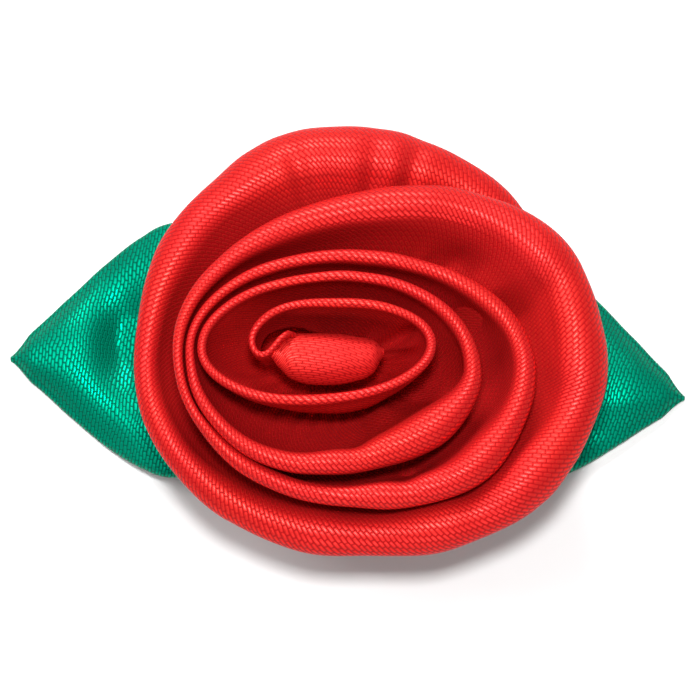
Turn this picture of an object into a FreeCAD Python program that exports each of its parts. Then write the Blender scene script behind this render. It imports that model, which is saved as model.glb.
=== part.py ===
import FreeCAD, Part
import math
import os

# A lapel rosette lying on its back: a red ribbon rose, bloom up, on two green ribbon leaves
# and a pin. Millimetres, +Z up, origin at the middle of the box, on the surface it lies on.


def named(columns, rows):
    """The rows of a table, each with its values under their column names."""
    return [dict(zip(columns, row)) for row in rows]


# Driving dimensions of the flower
ROOT_X, ROOT_Y, ROOT_Z = -0.4, -0.65, 3.3   # where the last turn of the ribbon is gathered
FOOT_RADIUS = 1.25          # from the root to the gathered foot of the first turn
FOOT_PITCH = 0.62           # each turn's foot lies this much further out
FOOT_STEP = 0.50            # and this much lower
FOOT_THICKNESS = 0.36       # two flat layers of satin with a little air between
ROLL_FADE = 2.4             # the wall is flat this many roll radii below the roll
STEPS_PER_ROW = 6
ROLL_STEPS = 4              # facets over the roll
WALL_PARTS = (1.0, 0.75, 0.5, 0.3, 0.15)    # places down the wall, from the foot up
QUARTER_HANDLE = 0.5523     # gives a curve handle that follows a quarter of an ellipse
EIGHTH_HANDLE = 0.375       # the same where the rim turns by an eighth or less
EIGHTH_TURN = 65            # a turn under this many degrees counts as an eighth

# Driving dimensions of the pin
BAR_LENGTH, BAR_WIDTH, BAR_THICKNESS = 15.0, 3.0, 0.5
BAR_TOP = 2.15
NEEDLE_RADIUS = 0.4
NEEDLE_INSET = 1.4          # from the bar's -X end to where the wire bends up into it
POINT_RADIUS, POINT_LENGTH = 0.08, 1.6
POINT_INSET = 0.6           # from the bar's +X end to the needle's point
HOOK_RADIUS, HOOK_WALL, HOOK_WIDTH = 0.85, 0.35, 2.0
HOOK_INSET = 0.4            # from the bar's +X end to the hook

# The rim of the folded ribbon, followed clockwise from the middle of the flower outwards.
# Most rows stand where the rim runs straight across or straight up the flower, so that a
# quarter of an ellipse joins one to the next. x and y are the middle of the roll, z its
# crest. Heading is the way the rim runs, in degrees from +X. Roll is the thickness of the
# soft fold. Grip is how far down to the root the wall goes, and bowl is how it stands: 1
# leans out evenly like a cone, and 3 rises steeply like a cup.
RIM = named(("x", "y", "z", "heading", "roll", "grip", "bowl"), [
    (-3.4, -0.25, 12.2, 205, 0.45, 0.30, 2.0),
    (-5.0, -1.65, 12.2, 180, 0.45, 0.30, 2.0),
    (-5.6, -0.85, 12.2, 90, 0.45, 0.30, 2.0),
    (-4.7, 0.65, 12.3, 38, 0.50, 0.40, 2.0),
    (-0.1, 1.45, 12.4, 0, 0.55, 0.90, 2.5),
    (4.9, -0.95, 12.3, -90, 0.55, 1.0, 2.5),
    (-2.8, -4.35, 12.4, 180, 0.60, 1.0, 2.8),
    (-8.5, -1.25, 12.3, 90, 0.55, 1.0, 2.2),
    (-0.1, 3.15, 12.0, 0, 0.60, 1.0, 2.4),
    (7.4, -2.45, 11.7, -90, 0.90, 1.0, 2.4),
    (4.6, -6.05, 11.6, -150, 1.80, 1.0, 2.4),
    (-2.2, -7.95, 11.8, 180, 1.20, 1.0, 2.4),
    (-9.2, -1.35, 12.1, 90, 0.55, 1.0, 2.2),
    (0.1, 4.45, 11.6, 0, 0.85, 1.0, 2.2),
    (10.4, -2.15, 10.9, -90, 1.20, 1.0, 2.2),
    (7.6, -7.75, 10.8, -138, 1.70, 1.0, 2.2),
    (0.2, -9.75, 10.9, 180, 1.20, 1.0, 2.2),
    (-9.9, -1.35, 11.9, 90, 0.60, 1.0, 2.1),
    (4.9, 8.05, 10.9, 0, 1.90, 1.0, 2.0),
    (11.5, 5.35, 10.5, -45, 2.30, 1.0, 2.0),
    (14.0, -2.05, 10.0, -90, 2.50, 1.0, 2.0),
    (10.2, -8.85, 9.6, -138, 2.50, 1.0, 2.0),
    (0.6, -11.75, 9.2, 180, 2.30, 1.0, 2.0),
    (-11.9, -1.35, 9.4, 90, 1.30, 1.0, 2.0),
    (-0.1, 12.05, 8.8, 0, 1.70, 1.0, 1.4),
    (9.7, 7.75, 7.6, -52, 1.30, 1.0, 1.4),
])
FIRST_TURN_ROW = 4          # the rows before this one curl inside the first turn
ROWS_PER_TURN = 4.9

# The folded start of the ribbon in the middle, a soft roll. The rows go up it.
BUD = named(("z", "x", "y", "half_length", "half_width"), [
    (6.2, -0.4, -1.15, 0.45, 0.40),
    (7.2, -0.5, -1.15, 0.85, 0.55),
    (8.4, -0.6, -1.2, 1.50, 0.85),
    (9.9, -0.8, -1.45, 2.50, 1.35),
    (10.8, -0.8, -1.5, 2.40, 1.15),
    (11.3, -0.9, -1.5, 1.60, 0.60),
])
BUD_SIDES = 16
BUD_TILT = 0.12             # the bud's top falls by this share towards +X

# A leaf is a ribbon folded to a point. The rows go from the tip to the root. Reach is the
# distance from the tip, lift the height of the underside, and crown and edge the thickness
# in the middle and at the rolled edges.
LEAF = named(("reach", "half_width", "lift", "crown", "edge"), [
    (0.0, 0.35, 0.0, 0.50, 0.45),
    (1.2, 1.45, 0.0, 0.80, 0.60),
    (3.2, 3.25, 0.0, 1.25, 0.70),
    (5.6, 5.35, 0.1, 1.45, 0.80),
    (8.0, 6.95, 0.9, 1.30, 0.80),
    (9.6, 7.55, 1.6, 1.20, 0.75),
    (12.0, 7.30, 2.3, 0.95, 0.65),
    (15.0, 5.20, 2.3, 0.80, 0.60),
    (18.6, 2.60, 2.3, 0.70, 0.60),
])
LEAF_STEPS = 10             # facets across a leaf
LEAF_BEVEL = 0.3            # the rolled edge takes at most this share of the half width
# Each leaf: its tip, the way it points in degrees from +X, and its share of the full width.
LEAVES = {
    "leaf_left": {"tip": (-20.0, 0.65), "points": 180.8, "width": 1.02},
    "leaf_right": {"tip": (20.0, -1.75), "points": -7, "width": 0.93},
}

ALONG, UP = FreeCAD.Vector(1, 0, 0), FreeCAD.Vector(0, 0, 1)


def eased(rows, name, index, share):
    """The value of a column between two rows, on a smooth curve through the rows."""
    last = len(rows) - 1
    before, start, end, after = (
        rows[min(max(index + step, 0), last)][name] for step in (-1, 0, 1, 2)
    )
    slope_in, slope_out = (end - before) / 2, (after - start) / 2
    square, cube = share ** 2, share ** 3
    return (
        start * (2 * cube - 3 * square + 1)
        + slope_in * (cube - 2 * square + share)
        + end * (3 * square - 2 * cube)
        + slope_out * (cube - square)
    )


def handle(row, start, end):
    """The curve handle at one of the two rows that a stretch of the rim joins."""
    heading = math.radians(row["heading"])
    turn = abs((end["heading"] - start["heading"] + 180) % 360 - 180)
    across = abs((end["x"] - start["x"]) * math.cos(heading))
    upward = abs((end["y"] - start["y"]) * math.sin(heading))
    length = (across + upward) * (EIGHTH_HANDLE if turn < EIGHTH_TURN else QUARTER_HANDLE)
    return FreeCAD.Vector(math.cos(heading), math.sin(heading), 0) * length


def rim_place(index, share):
    """A point of the rim in plan, and the direction out of the flower there."""
    start, end = RIM[index], RIM[index + 1]
    first, last = (FreeCAD.Vector(row["x"], row["y"], 0) for row in (start, end))
    curve = Part.BezierCurve()
    curve.setPoles([first, first + handle(start, start, end), last - handle(end, start, end), last])
    along = curve.tangent(share)[0]
    return curve.value(share), FreeCAD.Vector(-along.y, along.x, 0)


def gathered_foot(rim, index, share):
    """Where the wall below a rim point is gathered, on a small even spiral about the root."""
    root = FreeCAD.Vector(ROOT_X, ROOT_Y, 0)
    last = (len(RIM) - 1 - FIRST_TURN_ROW) / ROWS_PER_TURN
    turns = max((index + share - FIRST_TURN_ROW) / ROWS_PER_TURN, 0)
    outward = (rim - root).normalize()
    foot = root + outward * (FOOT_RADIUS + FOOT_PITCH * turns)
    return FreeCAD.Vector(foot.x, foot.y, ROOT_Z + FOOT_STEP * (last - turns))


def wall_section(index, share):
    """The outline across the folded ribbon: up its outer face, over the roll, down the inner."""
    value = {name: eased(RIM, name, index, share) for name in RIM[0]}
    rim, out = rim_place(index, share)
    radius = value["roll"] / 2
    rim.z = value["z"] - radius
    gathered = gathered_foot(rim, index, share)
    depth = (rim.z - gathered.z) * value["grip"]
    reach = FreeCAD.Vector(rim.x - gathered.x, rim.y - gathered.y, 0) * value["grip"] ** 2

    def middle(part):
        """The middle of the wall, from the roll's own middle at 0 to the foot at 1."""
        return rim - reach * part ** value["bowl"] - UP * depth * part

    def facing(part):
        """The wall's own normal, out of the flower."""
        slope = value["bowl"] * part ** (value["bowl"] - 1)
        return (out * depth - UP * reach.dot(out) * slope).normalize()

    def half(part):
        """Half the wall's thickness, which fades from the roll to the flat wall below it."""
        below = min(part * depth / radius / ROLL_FADE, 1)
        fade = (1 - below) ** 2 * (1 + 2 * below)
        return FOOT_THICKNESS / 2 + (radius - FOOT_THICKNESS / 2) * fade

    outer = [middle(part) + facing(part) * half(part) for part in WALL_PARTS]
    inner = [middle(part) - facing(part) * half(part) for part in WALL_PARTS]
    side = facing(0)
    rise = (UP - side * UP.dot(side)).normalize()
    angles = [math.pi * step / ROLL_STEPS for step in range(ROLL_STEPS + 1)]
    roll = [rim + (side * math.cos(angle) + rise * math.sin(angle)) * radius for angle in angles]
    return outer + roll + inner[::-1]


def end_strip(ring):
    """Triangles that close a ring, in a strip from its first side to its last."""
    count = len(ring)
    faces = []
    for low in range((count - 1) // 2):
        high = count - 1 - low
        faces.append((ring[low], ring[low + 1], ring[high]))
        if high - low > 2:
            faces.append((ring[low + 1], ring[high - 1], ring[high]))
    return faces


def triangles_of(rings):
    """Side faces between each ring and the next, and a strip over each end."""
    faces = []
    count = len(rings[0])
    for ring, following in zip(rings, rings[1:]):
        for here in range(count):
            there = (here + 1) % count
            faces.append((ring[here], ring[there], following[there]))
            faces.append((ring[here], following[there], following[here]))
    faces += [face[::-1] for face in end_strip(rings[0])]
    return faces + end_strip(rings[-1])


def faceted_solid(rings):
    faces = [Part.Face(Part.makePolygon([a, b, c, a])) for a, b, c in triangles_of(rings)]
    shell = Part.makeShell(faces)
    shell.sewShape()
    solid = Part.Solid(shell)
    if solid.Volume < 0:
        solid.reverse()
    return solid


def rose_ribbon():
    """The wound ribbon, with its soft fold up as the rim of every petal."""
    rings = [
        wall_section(index, step / STEPS_PER_ROW)
        for index in range(len(RIM) - 1)
        for step in range(STEPS_PER_ROW)
    ]
    rings.append(wall_section(len(RIM) - 2, 1.0))
    return faceted_solid(rings)


def bud_core():
    """The rolled start of the ribbon, an oval roll that widens upwards and is pinched shut."""
    foot, height = BUD[0]["z"], BUD[-1]["z"] - BUD[0]["z"]
    rings = []
    for row in BUD:
        tilt = BUD_TILT * (row["z"] - foot) / height
        ring = []
        for side in range(BUD_SIDES):
            angle = 2 * math.pi * (side + 0.5) / BUD_SIDES
            across = row["half_length"] * math.cos(angle)
            y = row["y"] + row["half_width"] * math.sin(angle)
            ring.append(FreeCAD.Vector(row["x"] + across, y, row["z"] - tilt * across))
        rings.append(ring)
    return faceted_solid(rings)


def leaf(tip, points, width):
    """A flat closed bag along the leaf's own line, thick in the middle, rolled at its edges."""
    heading = math.radians(points + 180)
    along = FreeCAD.Vector(math.cos(heading), math.sin(heading), 0)
    across = FreeCAD.Vector(-along.y, along.x, 0)
    shares = [2 * step / LEAF_STEPS - 1 for step in range(LEAF_STEPS + 1)]
    rings = []
    for row in LEAF:
        half_width, edge, crown = row["half_width"] * width, row["edge"], row["crown"]
        centre = FreeCAD.Vector(tip[0], tip[1], row["lift"]) + along * row["reach"]
        flat = half_width - min(half_width * LEAF_BEVEL, edge / 2)
        under = [centre + across * share * flat for share in shares]
        top = [
            place + UP * (edge + (crown - edge) * (1 - share ** 2))
            for place, share in zip(under, shares)
        ]
        side = across * half_width
        middle = centre + UP * (edge / 2)
        rings.append([middle - side] + top + [middle + side] + under[::-1])
    return faceted_solid(rings)


def needle():
    """The wire: straight, with a tapered point at +X and a bend up into the bar at -X."""
    bend = FreeCAD.Vector(ROOT_X - BAR_LENGTH / 2 + NEEDLE_INSET, ROOT_Y, HOOK_RADIUS)
    straight = BAR_LENGTH - NEEDLE_INSET - POINT_INSET - POINT_LENGTH
    shaft = Part.makeCylinder(NEEDLE_RADIUS, straight, bend, ALONG)
    taper_start = bend + ALONG * straight
    point = Part.makeCone(NEEDLE_RADIUS, POINT_RADIUS, POINT_LENGTH, taper_start, ALONG)
    rise = BAR_TOP - BAR_THICKNESS / 2 - HOOK_RADIUS
    post = Part.makeCylinder(NEEDLE_RADIUS, rise, bend, UP)
    knee = Part.makeSphere(NEEDLE_RADIUS, bend)
    return shaft.fuse([point, post, knee])


def hook():
    """The catch: a band from the bar down round the needle's point, open on the +Y side."""
    start = ROOT_X + BAR_LENGTH / 2 - HOOK_WIDTH - HOOK_INSET
    centre = FreeCAD.Vector(start, ROOT_Y, HOOK_RADIUS)
    band = Part.makeCylinder(HOOK_RADIUS, HOOK_WIDTH, centre, ALONG)
    hollow = Part.makeCylinder(HOOK_RADIUS - HOOK_WALL, HOOK_WIDTH, centre, ALONG)
    mouth = Part.makeBox(HOOK_WIDTH, HOOK_RADIUS, HOOK_RADIUS, centre)
    return band.cut(hollow).cut(mouth)


def lapel_pin():
    """A flat bar with a needle below it, whose point lies in a hook."""
    corner = FreeCAD.Vector(
        ROOT_X - BAR_LENGTH / 2, ROOT_Y - BAR_WIDTH / 2, BAR_TOP - BAR_THICKNESS
    )
    bar = Part.makeBox(BAR_LENGTH, BAR_WIDTH, BAR_THICKNESS, corner)
    return bar.fuse([needle(), hook()]).removeSplitter().Solids[0]


def main():
    os.makedirs("parts", exist_ok=True)
    shapes = {"rose_ribbon": rose_ribbon(), "bud_core": bud_core(), "lapel_pin": lapel_pin()}
    for name, places in LEAVES.items():
        shapes[name] = leaf(**places)
    for name, shape in shapes.items():
        shape.exportStep(os.path.join("parts", name + ".step"))
        box = shape.BoundBox
        print(
            f"{name}: {shape.ShapeType}, valid {shape.isValid()}, {len(shape.Faces)} faces, "
            f"{shape.Volume:.1f} mm3, x {box.XMin:.2f} {box.XMax:.2f}, "
            f"y {box.YMin:.2f} {box.YMax:.2f}, z {box.ZMin:.2f} {box.ZMax:.2f}"
        )


main()
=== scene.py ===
import math

import bpy
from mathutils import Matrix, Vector, noise

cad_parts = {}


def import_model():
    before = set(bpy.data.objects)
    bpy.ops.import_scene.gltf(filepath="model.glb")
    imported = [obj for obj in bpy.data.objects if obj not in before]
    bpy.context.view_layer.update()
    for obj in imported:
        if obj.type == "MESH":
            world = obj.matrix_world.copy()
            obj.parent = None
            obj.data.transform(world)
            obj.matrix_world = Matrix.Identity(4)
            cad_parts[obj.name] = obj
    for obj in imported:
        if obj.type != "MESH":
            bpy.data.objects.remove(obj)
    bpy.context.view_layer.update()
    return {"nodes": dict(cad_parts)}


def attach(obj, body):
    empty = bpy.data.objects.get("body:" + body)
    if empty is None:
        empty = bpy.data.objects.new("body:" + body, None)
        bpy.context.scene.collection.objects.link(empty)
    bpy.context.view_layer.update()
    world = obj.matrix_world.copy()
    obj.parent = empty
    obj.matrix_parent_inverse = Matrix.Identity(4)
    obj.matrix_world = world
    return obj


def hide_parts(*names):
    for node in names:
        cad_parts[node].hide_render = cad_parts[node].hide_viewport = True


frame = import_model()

# A red satin ribbon rose on two green satin ribbon leaves, lying on its back. Lengths are in
# millimetres, in the frame of the solids, except in the studio, which is in metres.

MM = 0.001
UP = Vector((0, 0, 1))
TINY = 1e-9
OUTER, INNER = 1, -1        # the two layers of the folded ribbon
WAVE_SEED = 1               # without it the small waves of the cloth differ from run to run
noise.seed_set(WAVE_SEED)


def named(columns, rows):
    """The rows of a table, each with its values under their column names."""
    return [dict(zip(columns, row)) for row in rows]


# The rim of the folded ribbon, clockwise from the middle outwards. Its columns are
# x, y: the middle of the soft fold in plan
# z: its crest
# heading: the way that the rim runs, in degrees from +X
# roll: the thickness of the soft fold
# grip: how much of the way down to the gathered foot the wall goes
# bowl: the power of the wall's curve, where a larger one stands steeper below the rim
# soft: how many fold radii down the inner layer stays puffed
# lean: the share of its reach that the wall takes as a straight cone
# puff: what thickens the fold inwards
RIM = named(("x", "y", "z", "heading", "roll", "grip", "bowl", "soft", "lean", "puff"), [
    (-2.6, -0.6, 10.4, 190, 0.30, 0.30, 2.0, 2.4, 0.0, 0.0),
    (-3.4, -0.25, 12.0, 203, 0.34, 0.30, 2.0, 2.4, 0.0, 0.0),
    (-5.0, -1.65, 12.2, 180, 0.34, 0.30, 2.0, 2.4, 0.0, 0.0),
    (-5.6, -0.85, 12.2, 90, 0.40, 0.30, 2.0, 2.4, 0.0, 0.0),
    (-4.7, 0.65, 12.3, 38, 0.50, 0.40, 2.0, 2.4, 0.0, 0.0),
    (-0.1, 1.45, 12.4, 0, 0.55, 0.90, 2.5, 2.4, 0.0, 0.0),
    (4.9, -0.95, 12.3, -90, 0.55, 1.0, 2.5, 2.4, 0.0, 0.0),
    (-2.8, -4.35, 12.4, 180, 0.60, 1.0, 2.8, 2.4, 0.0, 0.0),
    (-8.5, -1.25, 12.3, 90, 0.55, 1.0, 2.2, 2.4, 0.1, 0.0),
    (-0.1, 3.15, 12.0, 0, 0.60, 1.0, 2.4, 3.5, 0.15, 0.0),
    (7.4, -2.45, 11.7, -90, 0.90, 1.0, 2.4, 3, 0.15, 0.2),
    (4.6, -6.05, 11.6, -150, 1.80, 1.0, 2.4, 4, 0.4, 0.4),
    (-2.2, -7.95, 11.8, 180, 1.20, 1.0, 2.4, 3, 0.2, 0.1),
    (-9.2, -1.35, 12.1, 90, 0.55, 1.0, 2.2, 2.4, 0.1, 0.0),
    (0.1, 4.45, 11.6, 0, 0.85, 1.0, 2.2, 3.5, 0.25, 0.0),
    (10.4, -2.15, 10.9, -90, 1.20, 1.0, 2.2, 4, 0.25, 0.2),
    (7.6, -7.75, 10.8, -138, 1.70, 1.0, 2.2, 4, 0.35, 0.4),
    (0.2, -9.75, 10.9, 180, 1.20, 1.0, 2.2, 3.5, 0.15, 0.2),
    (-9.9, -1.35, 11.9, 90, 0.60, 1.0, 2.1, 2.4, 0.0, 0.0),
    (4.9, 8.05, 10.9, 0, 1.90, 1.0, 2.0, 5, 0.5, 0.4),
    (11.5, 5.35, 10.5, -45, 2.30, 1.0, 2.0, 5, 0.5, 0.8),
    (14.0, -2.05, 10.0, -90, 2.50, 1.0, 2.0, 5, 0.4, 0.8),
    (10.2, -8.85, 9.6, -138, 2.50, 1.0, 2.0, 5, 0.4, 0.6),
    (0.6, -11.75, 9.2, 180, 2.30, 1.0, 2.0, 4.5, 0.35, 0.5),
    (-11.9, -1.35, 9.4, 90, 1.30, 1.0, 2.0, 4.0, 0.25, 0.3),
    (-0.1, 11.75, 9.6, 0, 2.6, 1.0, 1.4, 3.0, 0.85, 1.6),
    (9.7, 7.75, 7.6, -52, 1.8, 1.0, 1.4, 3.5, 0.7, 0.6),
])
FIRST_TURN_ROW = 5          # the rows before this one curl inside the first turn
ROWS_PER_TURN = 4.9

# The curve between two rows has handles, as shares of how far apart the rows lie along the
# heading: one for a bend of about a quarter turn, and one for fewer degrees than SMALL_BEND
QUARTER_HANDLE, SMALL_HANDLE, SMALL_BEND = 0.5523, 0.375, 65
RIM_PROBES = 40             # straight steps that measure the rim between two rows
RIM_STEP = 0.32             # length of a facet along the rim

# The gathered foot: how far it lies from the root on the slanting line up to the rim, how much
# further out and lower each turn has it, and its thickness
ROOT_X, ROOT_Y, ROOT_Z = -0.4, -0.65, 3.3
FOOT_RADIUS, FOOT_PITCH, FOOT_STEP = 1.25, 0.62, 0.50
FOOT_THICKNESS = 0.36
GATHER, GATHER_LENGTH = 0.22, 1.7   # its small pleats: height, and length of one at the rim

WALL_STEPS, ROLL_STEPS = 14, 12
WALL_POWER = 1.5            # the wall's rows of points crowd towards the fold
ROLL_FADE = 2.4             # the outer layer is flat this many fold radii below the fold
FULL_SHARE, FULL_LENGTH = 0.2, 5.0  # how much the fold swells and thins, and over what length
CREASE, CREASE_SIZE = 0.05, 2.2     # height and size of the small uneven waves of the cloth
SATIN_THICKNESS = 0.1

# Soft dents and swellings of the walls. Place is a row of the rim and a share of the way to
# the next, depth is the way down the wall, long and deep are its size along the rim and down
# the wall, and push is out of the flower.
DENTS = named(("place", "side", "depth", "long", "deep", "push"), [
    (5.62, INNER, 2.8, 0.40, 1.5, 0.60),
    (5.80, INNER, 3.2, 0.90, 1.6, -0.60),
    (6.75, OUTER, 2.8, 2.40, 1.4, 0.45),
    (11.20, INNER, 4.0, 1.50, 1.4, -0.60),
    (14.60, INNER, 2.8, 1.20, 1.4, 0.60),
    (16.45, INNER, 3.0, 1.20, 1.4, 0.60),
    (19.55, INNER, 3.8, 1.60, 1.4, 0.70),
    (20.40, INNER, 3.8, 1.20, 1.6, 0.70),
])
DENT_END = 3                # a dent is over this many of its sizes away

# Puckers of the soft fold itself, on its inner side, where push swells it or thins it
PUCKERS = named(("place", "long", "push"), [
    (24.60, 1.5, 0.15),
    (24.83, 0.75, -0.32),
    (25.16, 0.65, -0.26),
    (25.37, 0.55, -0.30),
    (20.30, 1.20, -0.25),
    (22.30, 1.10, -0.20),
    (16.60, 0.80, -0.20),
    (11.60, 0.90, -0.20),
])

# A leaf in sections from its tip to its root: reach from the tip, half width, height of the
# underside, and thickness in the middle and at the rolled edges
LEAF = named(("reach", "half_width", "lift", "crown", "edge"), [
    (0.0, 0.12, 0.0, 0.35, 0.25),
    (1.2, 1.45, 0.0, 1.05, 0.60),
    (3.2, 3.25, 0.0, 1.65, 0.70),
    (5.6, 5.35, 0.1, 1.85, 0.80),
    (8.0, 6.95, 0.9, 1.45, 0.80),
    (9.6, 7.55, 1.6, 1.20, 0.75),
    (12.0, 7.30, 2.3, 0.95, 0.65),
    (15.0, 5.20, 2.3, 0.80, 0.60),
    (18.6, 2.60, 2.3, 0.70, 0.60),
])
# Where a leaf's tip is, the way that it points in degrees from +X, and its width over LEAF's
LEAVES = {
    "leaf_left": {"tip": (-20.0, 0.65), "points": 180.8, "width": 1.02},
    "leaf_right": {"tip": (20.0, -1.75), "points": -7, "width": 0.93},
}
LEAF_DENTS = named(("leaf", "x", "y", "long_x", "long_y", "push"), [
    ("leaf_left", -13.0, 1.8, 1.7, 3.2, -1.7),
    ("leaf_left", -12.2, -2.2, 1.2, 1.2, -0.4),
    ("leaf_right", 13.2, -1.0, 1.2, 6.0, -1.0),
    ("leaf_right", 15.5, -4.2, 3.0, 1.2, -0.6),
])
LEAF_FULLNESS = 2.6         # 2 is an even arch, and more is flat on top with rounded edges
LEAF_LEAST_HALF, LEAF_LEAST_RISE = 0.1, 0.3
LEAF_UNEVEN = 0.6           # share of the rose's small waves
LEAF_STEP = 0.22
LEAF_TOP_STEPS, LEAF_EDGE_STEPS, LEAF_FLAP_STEPS = 48, 8, 16
FLAP_GAP = 0.35             # half the slit between the two flaps under a leaf

# The bud: the folded start of the ribbon, in sections across it from left to right
BUD = named(("x", "y", "half_width", "top"), [
    (-4.60, -1.40, 0.10, 11.5),
    (-4.10, -1.43, 0.66, 11.6),
    (-3.40, -1.42, 1.28, 11.65),
    (-2.40, -1.50, 1.50, 11.55),
    (-0.45, -1.50, 1.50, 11.3),
    (1.00, -1.42, 1.22, 11.0),
    (1.60, -1.30, 0.92, 10.8),
    (2.15, -1.05, 0.20, 10.3),
])
BUD_BOTTOM = 6.4
BUD_DOME = 0.85             # height of its top over its own half width
BUD_FULL_HALF = 1.6         # a section of this half width would reach down to the bottom
BUD_END_LIFT = 0.8          # how much of the way up the underside rises at the pointed ends
BUD_TAPER = 0.5             # how much narrower it gets towards its lowest line
BUD_LEAST_HALF = 0.05
BUD_UNEVEN = 0.5            # share of the rose's small waves
BUD_ROWS, BUD_AROUND = 48, 48


# Reading the tables


def eased(rows, name, index, share):
    """The value of a column between two rows, on a smooth curve through the rows."""
    last = len(rows) - 1
    before, start, end, after = (
        rows[min(max(index + step, 0), last)][name] for step in (-1, 0, 1, 2)
    )
    slope_in, slope_out = (end - before) / 2, (after - start) / 2
    square, cube = share ** 2, share ** 3
    return (
        start * (2 * cube - 3 * square + 1)
        + slope_in * (cube - 2 * square + share)
        + end * (3 * square - 2 * cube)
        + slope_out * (cube - square)
    )


def between_rows(rows, index, share):
    """Every column of a table between two rows."""
    return {name: eased(rows, name, index, share) for name in rows[0]}


def at_place(rows, column, place):
    """Every column of a table at one place, where the given column holds the rows' places."""
    index = max(i for i, row in enumerate(rows[:-1]) if row[column] <= place + TINY)
    start, end = rows[index][column], rows[index + 1][column]
    return between_rows(rows, index, (place - start) / (end - start))


# The rim


def rim_handle(row, start, end):
    """The handle at one end of the curve between two rows, along that row's heading."""
    heading = math.radians(row["heading"])
    turn = abs((end["heading"] - start["heading"] + 180) % 360 - 180)
    across = abs((end["x"] - start["x"]) * math.cos(heading))
    upward = abs((end["y"] - start["y"]) * math.sin(heading))
    length = (across + upward) * (SMALL_HANDLE if turn < SMALL_BEND else QUARTER_HANDLE)
    return Vector((math.cos(heading), math.sin(heading), 0)) * length


def rim_place(index, share):
    """A point of the rim in plan, and the direction out of the flower there."""
    start, end = RIM[index], RIM[index + 1]
    a, d = (Vector((row["x"], row["y"], 0)) for row in (start, end))
    b, c = a + rim_handle(start, start, end), d - rim_handle(end, start, end)
    rest = 1 - share
    place = a * rest ** 3 + b * 3 * rest ** 2 * share + c * 3 * rest * share ** 2 + d * share ** 3
    along = ((b - a) * rest ** 2 + (c - b) * 2 * rest * share + (d - c) * share ** 2).normalized()
    return place, Vector((-along.y, along.x, 0))


def rim_samples():
    """Rows and shares along the rim at an even spacing, with the length of rim up to each."""
    samples, length = [], 0.0
    for index in range(len(RIM) - 1):
        places = [rim_place(index, step / RIM_PROBES)[0] for step in range(RIM_PROBES + 1)]
        stretch = sum((b - a).length for a, b in zip(places, places[1:]))
        count = math.ceil(stretch / RIM_STEP)
        for step in range(count):
            samples.append((index, step / count, length + stretch * step / count))
        length += stretch
    samples.append((len(RIM) - 2, 1.0, length))
    return samples


# All the samples, and the length of rim up to each row of the table
RIM_SAMPLES = rim_samples()
ROW_LENGTHS = [length for _, share, length in RIM_SAMPLES if share in (0, 1)]


def length_to(place):
    """The length of rim up to a place, which is a row and a share of the way to the next."""
    index = min(int(place), len(RIM) - 2)
    return ROW_LENGTHS[index] + (ROW_LENGTHS[index + 1] - ROW_LENGTHS[index]) * (place - index)


# The folded wall


def gathered_foot(rim, place):
    """Where the wall below a point of the rim is gathered."""
    root = Vector((ROOT_X, ROOT_Y, 0))
    last = (len(RIM) - 1 - FIRST_TURN_ROW) / ROWS_PER_TURN
    turns = max((place - FIRST_TURN_ROW) / ROWS_PER_TURN, 0)
    foot = root + (rim - root).normalized() * (FOOT_RADIUS + FOOT_PITCH * turns)
    return Vector((foot.x, foot.y, ROOT_Z + FOOT_STEP * (last - turns)))


def dent(length, side, depth):
    """How far the dents push a layer out, at a length along the rim and a depth below it."""
    push = 0.0
    for row in DENTS:
        if row["side"] != side:
            continue
        away = (length - length_to(row["place"])) / row["long"]
        below = (depth - row["depth"]) / row["deep"]
        if abs(away) < DENT_END and abs(below) < DENT_END:
            push += row["push"] * math.exp(-away ** 2 - below ** 2)
    return push


def pucker(length):
    """How far the puckers swell the fold at a length along the rim."""
    push = 0.0
    for row in PUCKERS:
        away = (length - length_to(row["place"])) / row["long"]
        push += row["push"] * math.exp(-away ** 2)
    return push


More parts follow.
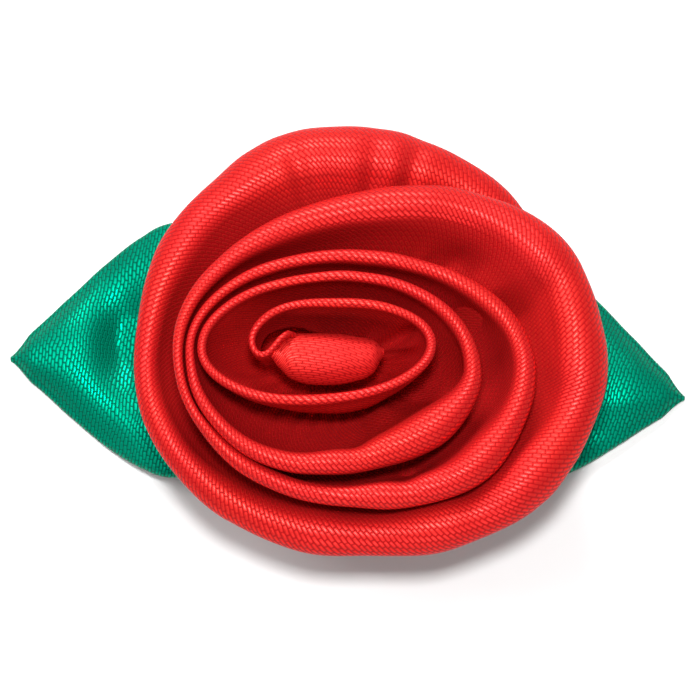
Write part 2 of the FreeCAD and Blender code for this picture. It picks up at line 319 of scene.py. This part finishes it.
class Wall:
    """The folded ribbon below one place of the rim. A part is a share of the way down it, from
    0 at the fold to 1 at its lower edge."""

    def __init__(self, index, share):
        value = between_rows(RIM, index, share)
        self.lean, self.bowl, self.soft = value["lean"], value["bowl"], value["soft"]
        self.length = length_to(index + share)
        self.pucker = pucker(self.length)
        thickness = value["roll"] + value["puff"]
        fullness = noise.noise((self.length / FULL_LENGTH, 0, 0))
        self.radius = thickness / 2 * (1 + FULL_SHARE * fullness)
        self.rim, self.out = rim_place(index, share)
        self.rim -= self.out * value["puff"] / 2
        self.rim.z = value["z"] - thickness / 2
        self.reach_down(gathered_foot(self.rim, index + share), value["grip"])

    def reach_down(self, foot, grip):
        """Sets how far the wall goes towards its foot, and the pleats that this gathers."""
        self.depth = (self.rim.z - foot.z) * grip
        self.reach = Vector((self.rim.x - foot.x, self.rim.y - foot.y, 0)) * grip ** 2
        self.pleat = GATHER * math.sin(2 * math.pi * self.length / GATHER_LENGTH) * grip ** 3

    def middle(self, part):
        """The point halfway between the two layers."""
        inward = self.lean * part + (1 - self.lean) * part ** self.bowl
        return self.rim - self.reach * inward - UP * self.depth * part

    def facing(self, part):
        """The direction out of the flower that is square to the wall."""
        curved = self.bowl * part ** (self.bowl - 1)
        slope = self.lean + (1 - self.lean) * curved
        return (self.out * self.depth - UP * self.reach.dot(self.out) * slope).normalized()

    def half_thickness(self, part, side):
        """How far a layer is from the middle, which fades from the fold down."""
        fade_length = self.soft if side == INNER else ROLL_FADE
        below = min(part * self.depth / self.radius / fade_length, 1)
        fade = (1 - below) ** 2 * (1 + 2 * below)
        full = self.radius + (self.pucker if side == INNER else 0)
        return FOOT_THICKNESS / 2 + (full - FOOT_THICKNESS / 2) * fade

    def layer_point(self, part, side):
        """A point of one layer, with its dents and pleats."""
        middle = self.middle(part)
        push = dent(self.length, side, (middle - self.rim).length) + self.pleat * part ** 3
        return middle + self.facing(part) * (self.half_thickness(part, side) * side + push)

    def roll(self):
        """Points over the soft fold, from the outer layer to the inner one."""
        side = self.facing(0)
        rise = (UP - side * UP.dot(side)).normalized()
        points = []
        for step in range(ROLL_STEPS + 1):
            angle = math.pi * step / ROLL_STEPS
            radius = self.radius + self.pucker * ((1 - math.cos(angle)) / 2) ** 2
            points.append(self.rim + (side * math.cos(angle) + rise * math.sin(angle)) * radius)
        return points

    def points(self):
        """Points up the outer layer, over the fold and down the inner layer."""
        parts = [(1 - step / WALL_STEPS) ** WALL_POWER for step in range(WALL_STEPS)]
        outer = [self.layer_point(part, OUTER) for part in parts]
        inner = [self.layer_point(part, INNER) for part in parts[::-1]]
        return outer + self.roll() + inner


# Meshes


def uneven(point):
    """The small waves of the cloth at a point, in millimetres along each axis."""
    return noise.noise_vector(point / CREASE_SIZE) * CREASE


def grid_faces(lines, count, closed):
    """Faces between neighbouring lines of points, closed where a line runs all the way round."""
    faces = []
    for line in range(lines - 1):
        for here in range(count if closed else count - 1):
            there = (here + 1) % count
            low, high = line * count, (line + 1) * count
            faces.append((low + here, low + there, high + there, high + here))
    return faces


def end_faces(start, count, turn):
    """Faces that shut one folded line of points, between its two layers. turn is their order."""
    faces = []
    for here in range(count // 2):
        corners = dict.fromkeys((here, here + 1, count - 2 - here, count - 1 - here))
        faces.append([start + corner for corner in corners][::turn])
    return faces


def mesh_object(name, rows, across, along, closed=False, shut_ends=False):
    """A grid of points as an object. across and along are each point's place in the flat cloth."""
    count = len(rows[0])
    vertices = [point * MM for row in rows for point in row]
    faces = grid_faces(len(rows), count, closed)
    if shut_ends:
        faces += end_faces(0, count, -1)
        faces += end_faces((len(rows) - 1) * count, count, 1)
    mesh = bpy.data.meshes.new(name)
    mesh.from_pydata(vertices, [], faces)
    cloth = mesh.uv_layers.new(name="cloth")
    for loop in mesh.loops:
        line, here = divmod(loop.vertex_index, count)
        cloth.data[loop.index].uv = (along[line][here], across[line][here])
    for face in mesh.polygons:
        face.use_smooth = True
    piece = bpy.data.objects.new(name, mesh)
    bpy.context.scene.collection.objects.link(piece)
    return piece


def thicken(piece):
    """Gives a sheet the thickness of satin, inwards from its surface."""
    solidify = piece.modifiers.new("thickness", "SOLIDIFY")
    solidify.thickness = SATIN_THICKNESS * MM
    solidify.offset = -1
    solidify.use_even_offset = False


def lengths_across(rows, crest):
    """Each point's distance along its own row from the row's crest point."""
    result = []
    for row in rows:
        place = [0.0]
        for a, b in zip(row, row[1:]):
            place.append(place[-1] + (b - a).length)
        result.append([value - place[crest] for value in place])
    return result


def rose_ribbon():
    """The red ribbon of the flower, and the length of its rim."""
    rows = [Wall(index, share).points() for index, share, _ in RIM_SAMPLES]
    rows = [[point + uneven(point) for point in row] for row in rows]
    across = lengths_across(rows, WALL_STEPS + ROLL_STEPS // 2)
    along = [[length] * len(rows[0]) for _, _, length in RIM_SAMPLES]
    piece = mesh_object("rose_cloth", rows, across, along, shut_ends=True)
    thicken(piece)
    return piece, ROW_LENGTHS[-1]


def leaf_dent(name, spot):
    """How far the dents of one leaf raise its top at a spot, which is below 0 in a hollow."""
    return sum(
        row["push"]
        * math.exp(-((spot.x - row["x"]) / row["long_x"]) ** 2)
        * math.exp(-((spot.y - row["y"]) / row["long_y"]) ** 2)
        for row in LEAF_DENTS
        if row["leaf"] == name
    )


def leaf_side(centre, outward, flat, edge):
    """Points under a leaf from the slit to one side, and up round its rolled edge."""
    gap = min(FLAP_GAP, flat / 2)
    flap = [
        centre + outward * (gap + (flat - gap) * step / LEAF_FLAP_STEPS)
        for step in range(LEAF_FLAP_STEPS)
    ]
    roll = []
    for step in range(LEAF_EDGE_STEPS):
        angle = math.pi * step / LEAF_EDGE_STEPS
        spot = centre + outward * (flat + edge / 2 * math.sin(angle))
        roll.append(spot + UP * edge / 2 * (1 - math.cos(angle)))
    return flap + roll


def leaf_top(name, centre, across, flat, edge, crown):
    """Points over the top of a leaf, from one rolled edge to the other."""
    points = []
    for step in range(LEAF_TOP_STEPS + 1):
        place = 1 - 2 * step / LEAF_TOP_STEPS
        spot = centre + across * place * flat
        arch = edge + (crown - edge) * (1 - abs(place) ** LEAF_FULLNESS)
        rise = arch + leaf_dent(name, spot) * (1 - place ** 2)
        points.append(spot + UP * max(rise, LEAF_LEAST_RISE))
    return points


def leaf_section(name, tip, along, width, reach):
    """Points across a leaf, from the slit under it round one side, over the top and back."""
    value = at_place(LEAF, "reach", reach)
    across = Vector((-along.y, along.x, 0))
    centre = Vector((tip[0], tip[1], max(value["lift"], 0))) + along * reach
    half_width = max(value["half_width"], LEAF_LEAST_HALF) * width
    edge = min(value["edge"], half_width)
    flat = half_width - edge / 2
    left, right = (leaf_side(centre, across * turn, flat, edge) for turn in (1, -1))
    top = leaf_top(name, centre, across, flat, edge, value["crown"])
    line = [point + uneven(point) * LEAF_UNEVEN for point in left + top + right[::-1]]
    return [Vector((point.x, point.y, max(point.z, 0))) for point in line]


def leaf_cloth(name, tip, points, width):
    """A leaf as one strip of ribbon, whose two flaps leave a slit along its underside."""
    heading = math.radians(points + 180)
    along = Vector((math.cos(heading), math.sin(heading), 0))
    last = LEAF[-1]["reach"]
    count = math.ceil(last / LEAF_STEP)
    reaches = [last * step / count for step in range(count + 1)]
    rows = [leaf_section(name, tip, along, width, reach) for reach in reaches]
    flat_across = lengths_across(rows, len(rows[0]) // 2)
    flat_along = [[reach] * len(rows[0]) for reach in reaches]
    piece = mesh_object(name + "_cloth", rows, flat_across, flat_along)
    thicken(piece)
    return piece


def bud_section(x):
    """Points round the bud, which is domed above and narrows below."""
    value = at_place(BUD, "x", x)
    half = max(value["half_width"], BUD_LEAST_HALF)
    low = BUD_BOTTOM + (value["top"] - BUD_BOTTOM) * (1 - half / BUD_FULL_HALF) * BUD_END_LIFT
    mid = value["top"] - BUD_DOME * half
    points = []
    for step in range(BUD_AROUND):
        angle = 2 * math.pi * step / BUD_AROUND
        rise, across = math.sin(angle), math.cos(angle)
        z = mid + rise * ((value["top"] - mid) if rise > 0 else (mid - low))
        narrow = 1 - BUD_TAPER * max(-rise, 0)
        points.append(Vector((x, value["y"] + across * half * narrow, z)))
    return [point + uneven(point) * BUD_UNEVEN for point in points]


def bud():
    """The bud as a closed form, with sections that crowd towards its two ends."""
    first, last = BUD[0]["x"], BUD[-1]["x"]
    places = [
        first + (last - first) * (1 - math.cos(math.pi * step / BUD_ROWS)) / 2
        for step in range(BUD_ROWS + 1)
    ]
    rows = [bud_section(x) for x in places]
    along = [[x] * BUD_AROUND for x in places]
    return mesh_object("bud_cloth", rows, lengths_across(rows, 0), along, closed=True)


# Materials

# The colours of a satin: deep, a painted shade between the floats; two lit tones on them, which
# vary in soft patches and paint the highlight along each float; and the tint of their shine
REDS = {
    # deep is painted shade between the floats, and the two lighter tones are a painted highlight on
    # them
    "deep": (0.21, 0.0, 0.002),
    "lit": (0.62, 0.020, 0.024),
    "warm": (0.70, 0.028, 0.018),
    "shine": (1.0, 0.30, 0.22),
}
GREENS = {
    # deep is painted shade between the floats, and the two lighter tones are a painted highlight on
    # them
    "deep": (0.0, 0.018, 0.010),
    "lit": (0.0, 0.20, 0.115),
    "warm": (0.0, 0.26, 0.155),
    "shine": (0.0, 1.0, 0.66),
}
# Bias is the angle of the floats to the rim in degrees, pitch and repeat are the millimetres
# across a float and along it, narrow sharpens the painted highlight along each float, and metal is
# how strongly the floats shine in their own colour.
SATINS = named(("name", "colours", "bias", "pitch", "repeat", "narrow", "metal"), [
    ("red_satin", REDS, 55, 0.25, 0.56, 1.8, 0.9),
    ("red_satin_bud", REDS, 8, 0.17, 0.80, 1.2, 0.6),
    ("green_satin", GREENS, -80, 0.21, 0.48, 1.3, 0.9),
])
FLOAT_HEIGHT, FLOAT_BUMP = 0.016, 1.0
FLOAT_START = 0.4           # each column of floats starts this much of a float further on
FLOAT_ENDS = 3.0            # how squarely a float ends
STRAY, STRAY_SCALE, STRAY_DETAIL = 0.18, 0.6, 3     # how far the threads stray, and the noise
TONE_SCALE, TONE_DETAIL = 0.14, 2                   # the noise of the two tones' soft patches
SATIN_ROUGHNESS, FLOAT_GLOSS = 0.50, 0.12           # roughness, and how much less on a float
SATIN_SPECULAR = 0.22

STEEL_COLOUR = (0.62, 0.61, 0.6, 1)
STEEL_LINES, STEEL_DETAIL = (300, 6000, 6000), 4    # fine lines along X, as scales to the metre
STEEL_ROUGHNESS, STEEL_UNEVEN = 0.15, 0.3           # the least roughness, and how it varies
STEEL_HEIGHT, STEEL_BUMP = 0.01, 0.3                # height and strength of the lines

MIX_SHARE, MIX_FIRST, MIX_SECOND, MIX_RESULT = 0, 6, 7, 2   # the colour sockets of a mix node


def new_material(name):
    """A new material, its node tree and its shader."""
    material = bpy.data.materials.new(name)
    material.use_nodes = True
    return material, material.node_tree, material.node_tree.nodes["Principled BSDF"]


def node(tree, kind, **values):
    made = tree.nodes.new(kind)
    for key, value in values.items():
        setattr(made, key, value)
    return made


def math_node(tree, operation, *values):
    """The result of one operation on numbers and other nodes' results."""
    made = node(tree, "ShaderNodeMath", operation=operation)
    for socket, value in zip(made.inputs, values):
        if isinstance(value, (int, float)):
            socket.default_value = value
        else:
            tree.links.new(value, socket)
    return made.outputs[0]


def noise_node(tree, place, scale, detail):
    made = node(tree, "ShaderNodeTexNoise", noise_dimensions="3D")
    made.inputs["Scale"].default_value = scale
    made.inputs["Detail"].default_value = detail
    tree.links.new(place, made.inputs["Vector"])
    return made.outputs[0]


def bump(tree, shader, relief, strength, height):
    """Raises the surface by a height in millimetres where the relief is 1."""
    made = node(tree, "ShaderNodeBump")
    made.inputs["Strength"].default_value = strength
    made.inputs["Distance"].default_value = height * MM
    tree.links.new(relief, made.inputs["Height"])
    tree.links.new(made.outputs[0], shader.inputs["Normal"])


def satin_grid(tree, cloth, bias, pitch, repeat):
    """Places along and across the floats, counted in floats, on threads that stray a little."""
    parts = node(tree, "ShaderNodeSeparateXYZ")
    tree.links.new(cloth, parts.inputs[0])
    wander = noise_node(tree, cloth, STRAY_SCALE, STRAY_DETAIL)
    drift = math_node(tree, "MULTIPLY_ADD", wander, 2 * STRAY, -STRAY)
    length, height = (math_node(tree, "ADD", parts.outputs[i], drift) for i in (0, 1))
    angle = math.radians(bias)
    along = math_node(
        tree, "MULTIPLY_ADD", length, math.cos(angle) / repeat,
        math_node(tree, "MULTIPLY", height, math.sin(angle) / repeat),
    )
    across = math_node(
        tree, "MULTIPLY_ADD", length, -math.sin(angle) / pitch,
        math_node(tree, "MULTIPLY", height, math.cos(angle) / pitch),
    )
    return along, across


def satin_floats(tree, along, across):
    """Five-harness satin: each float is a raised dash, and each column starts two fifths on."""
    column = math_node(tree, "FLOOR", across)
    side = math_node(tree, "SUBTRACT", math_node(tree, "FRACT", across), 0.5)
    shifted = math_node(tree, "MULTIPLY_ADD", column, FLOAT_START, along)
    end = math_node(tree, "SUBTRACT", math_node(tree, "FRACT", shifted), 0.5)
    side_square = math_node(tree, "MULTIPLY", side, side)
    crown = math_node(tree, "MULTIPLY_ADD", side_square, -4.0, 1.0)
    end_square = math_node(tree, "MULTIPLY", end, end)
    end_power = math_node(tree, "POWER", math_node(tree, "MULTIPLY", end_square, 4.0), FLOAT_ENDS)
    arch = math_node(tree, "MULTIPLY_ADD", end_power, -1.0, 1.0)
    return math_node(tree, "MULTIPLY", crown, arch)


def satin_colour(tree, cloth, floats, colours, narrow):
    """Painted shade, the deep colour, between the floats, and a painted highlight in two lit tones
    in soft patches on them.
    """
    tone = node(tree, "ShaderNodeMix", data_type="RGBA")
    tone.inputs[MIX_FIRST].default_value = (*colours["lit"], 1)
    tone.inputs[MIX_SECOND].default_value = (*colours["warm"], 1)
    tree.links.new(noise_node(tree, cloth, TONE_SCALE, TONE_DETAIL), tone.inputs[MIX_SHARE])
    colour = node(tree, "ShaderNodeMix", data_type="RGBA")
    colour.inputs[MIX_FIRST].default_value = (*colours["deep"], 1)
    tree.links.new(tone.outputs[MIX_RESULT], colour.inputs[MIX_SECOND])
    # the floats' height paints highlight on the floats and shade between them
    tree.links.new(math_node(tree, "POWER", floats, narrow), colour.inputs[MIX_SHARE])
    return colour.outputs[MIX_RESULT]


def satin(name, colours, bias, pitch, repeat, narrow, metal):
    """Satin whose floats run at a bias to the rim, and are glossier than what lies between."""
    material, tree, shader = new_material(name)
    cloth = node(tree, "ShaderNodeUVMap", uv_map="cloth").outputs[0]
    floats = satin_floats(tree, *satin_grid(tree, cloth, bias, pitch, repeat))
    # painted highlight on the floats and painted shade between them, in the base colour
    colour = satin_colour(tree, cloth, floats, colours, narrow)
    square = math_node(tree, "MULTIPLY", floats, floats)
    rough = math_node(tree, "MULTIPLY_ADD", square, -FLOAT_GLOSS, SATIN_ROUGHNESS)
    tree.links.new(colour, shader.inputs["Base Color"])
    tree.links.new(rough, shader.inputs["Roughness"])
    tree.links.new(math_node(tree, "MULTIPLY", square, metal), shader.inputs["Metallic"])
    bump(tree, shader, floats, FLOAT_BUMP, FLOAT_HEIGHT)
    shader.inputs["Specular IOR Level"].default_value = SATIN_SPECULAR
    shader.inputs["Specular Tint"].default_value = (*colours["shine"], 1)
    return material


def pin_steel():
    """Drawn steel, with fine lines along the pin."""
    material, tree, shader = new_material("pin_steel")
    shader.inputs["Metallic"].default_value = 1.0
    shader.inputs["Base Color"].default_value = STEEL_COLOUR
    place = node(tree, "ShaderNodeTexCoord")
    stretch = node(tree, "ShaderNodeMapping")
    stretch.inputs["Scale"].default_value = STEEL_LINES
    tree.links.new(place.outputs["Object"], stretch.inputs[0])
    lines = noise_node(tree, stretch.outputs[0], 1.0, STEEL_DETAIL)
    rough = math_node(tree, "MULTIPLY_ADD", lines, STEEL_UNEVEN, STEEL_ROUGHNESS)
    tree.links.new(rough, shader.inputs["Roughness"])
    bump(tree, shader, lines, STEEL_BUMP, STEEL_HEIGHT)
    return material


# The rosette


def stand_for(piece, cad_node, material):
    """Shows a piece in place of a solid."""
    piece.data.materials.append(material)
    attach(piece, "root")
    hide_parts(cad_node)


def build_rosette():
    satins = {row["name"]: satin(**row) for row in SATINS}
    rose, rim_length = rose_ribbon()
    stand_for(rose, "rose_ribbon", satins["red_satin"])
    for name, places in LEAVES.items():
        leaf = leaf_cloth(name, **places)
        stand_for(leaf, name, satins["green_satin"])
    core = bud()
    stand_for(core, "bud_core", satins["red_satin_bud"])
    pin = frame["nodes"]["lapel_pin"]
    pin.data.materials.clear()
    pin.data.materials.append(pin_steel())


# The studio, in metres

FLOOR_SIZE = 2.0
FLOOR_COLOUR, FLOOR_ROUGHNESS = (0.52, 0.52, 0.52, 1), 0.9
LIGHTS = named(("name", "place", "size", "power"), [
    ("key", (-0.04, 0.46, 0.36), (0.20, 0.12), 4.2),
    ("top", (0.0, -0.02, 0.6), (0.08, 0.08), 4.7),
    ("left", (-0.36, 0.10, 0.45), (0.2, 0.2), 1.2),
    ("front", (0.05, -0.50, 0.28), (0.4, 0.2), 1.4),
])
WORLD_COLOUR, WORLD_POWER = (1, 1, 1, 1), 0.42

# The camera, in degrees and millimetres: the angle at which it looks down, its lens and sensor,
# the width of the object's space that fills the picture, and the point in the picture's middle
CAMERA_ELEVATION = 78.0
CAMERA_LENS, CAMERA_SENSOR = 600.0, 36.0
FRAME_WIDTH = 41.18
CAMERA_TARGET = (0.147, -0.061, 6.0)


def floor():
    bpy.ops.mesh.primitive_plane_add(size=FLOOR_SIZE, location=(0, 0, 0))
    plane = bpy.context.object
    plane.name = "floor"
    material, _, shader = new_material("floor_white")
    shader.inputs["Base Color"].default_value = FLOOR_COLOUR
    shader.inputs["Roughness"].default_value = FLOOR_ROUGHNESS
    plane.data.materials.append(material)


def area_light(name, place, size, power):
    """A white panel of light that faces the middle of the floor."""
    data = bpy.data.lights.new(name, "AREA")
    data.shape = "RECTANGLE"
    data.size, data.size_y = size
    data.energy = power
    light = bpy.data.objects.new(name, data)
    light.location = place
    light.rotation_euler = (-Vector(place)).to_track_quat("-Z", "Y").to_euler()
    bpy.context.scene.collection.objects.link(light)


def world():
    surroundings = bpy.data.worlds.new("studio")
    surroundings.use_nodes = True
    background = surroundings.node_tree.nodes["Background"]
    background.inputs["Color"].default_value = WORLD_COLOUR
    background.inputs["Strength"].default_value = WORLD_POWER
    bpy.context.scene.world = surroundings


def camera():
    data = bpy.data.cameras.new("camera")
    data.lens, data.sensor_width = CAMERA_LENS, CAMERA_SENSOR
    away = FRAME_WIDTH * CAMERA_LENS / CAMERA_SENSOR * MM
    tilt = math.radians(CAMERA_ELEVATION)
    view = bpy.data.objects.new("camera", data)
    view.location = Vector(CAMERA_TARGET) * MM + Vector((0, -math.cos(tilt), math.sin(tilt))) * away
    view.rotation_euler = (math.pi / 2 - tilt, 0, 0)
    bpy.context.scene.collection.objects.link(view)
    bpy.context.scene.camera = view


build_rosette()
floor()
for row in LIGHTS:
    area_light(**row)
world()
camera()
bpy.context.scene.view_settings.view_transform = "Standard"
bpy.context.view_layer.update()
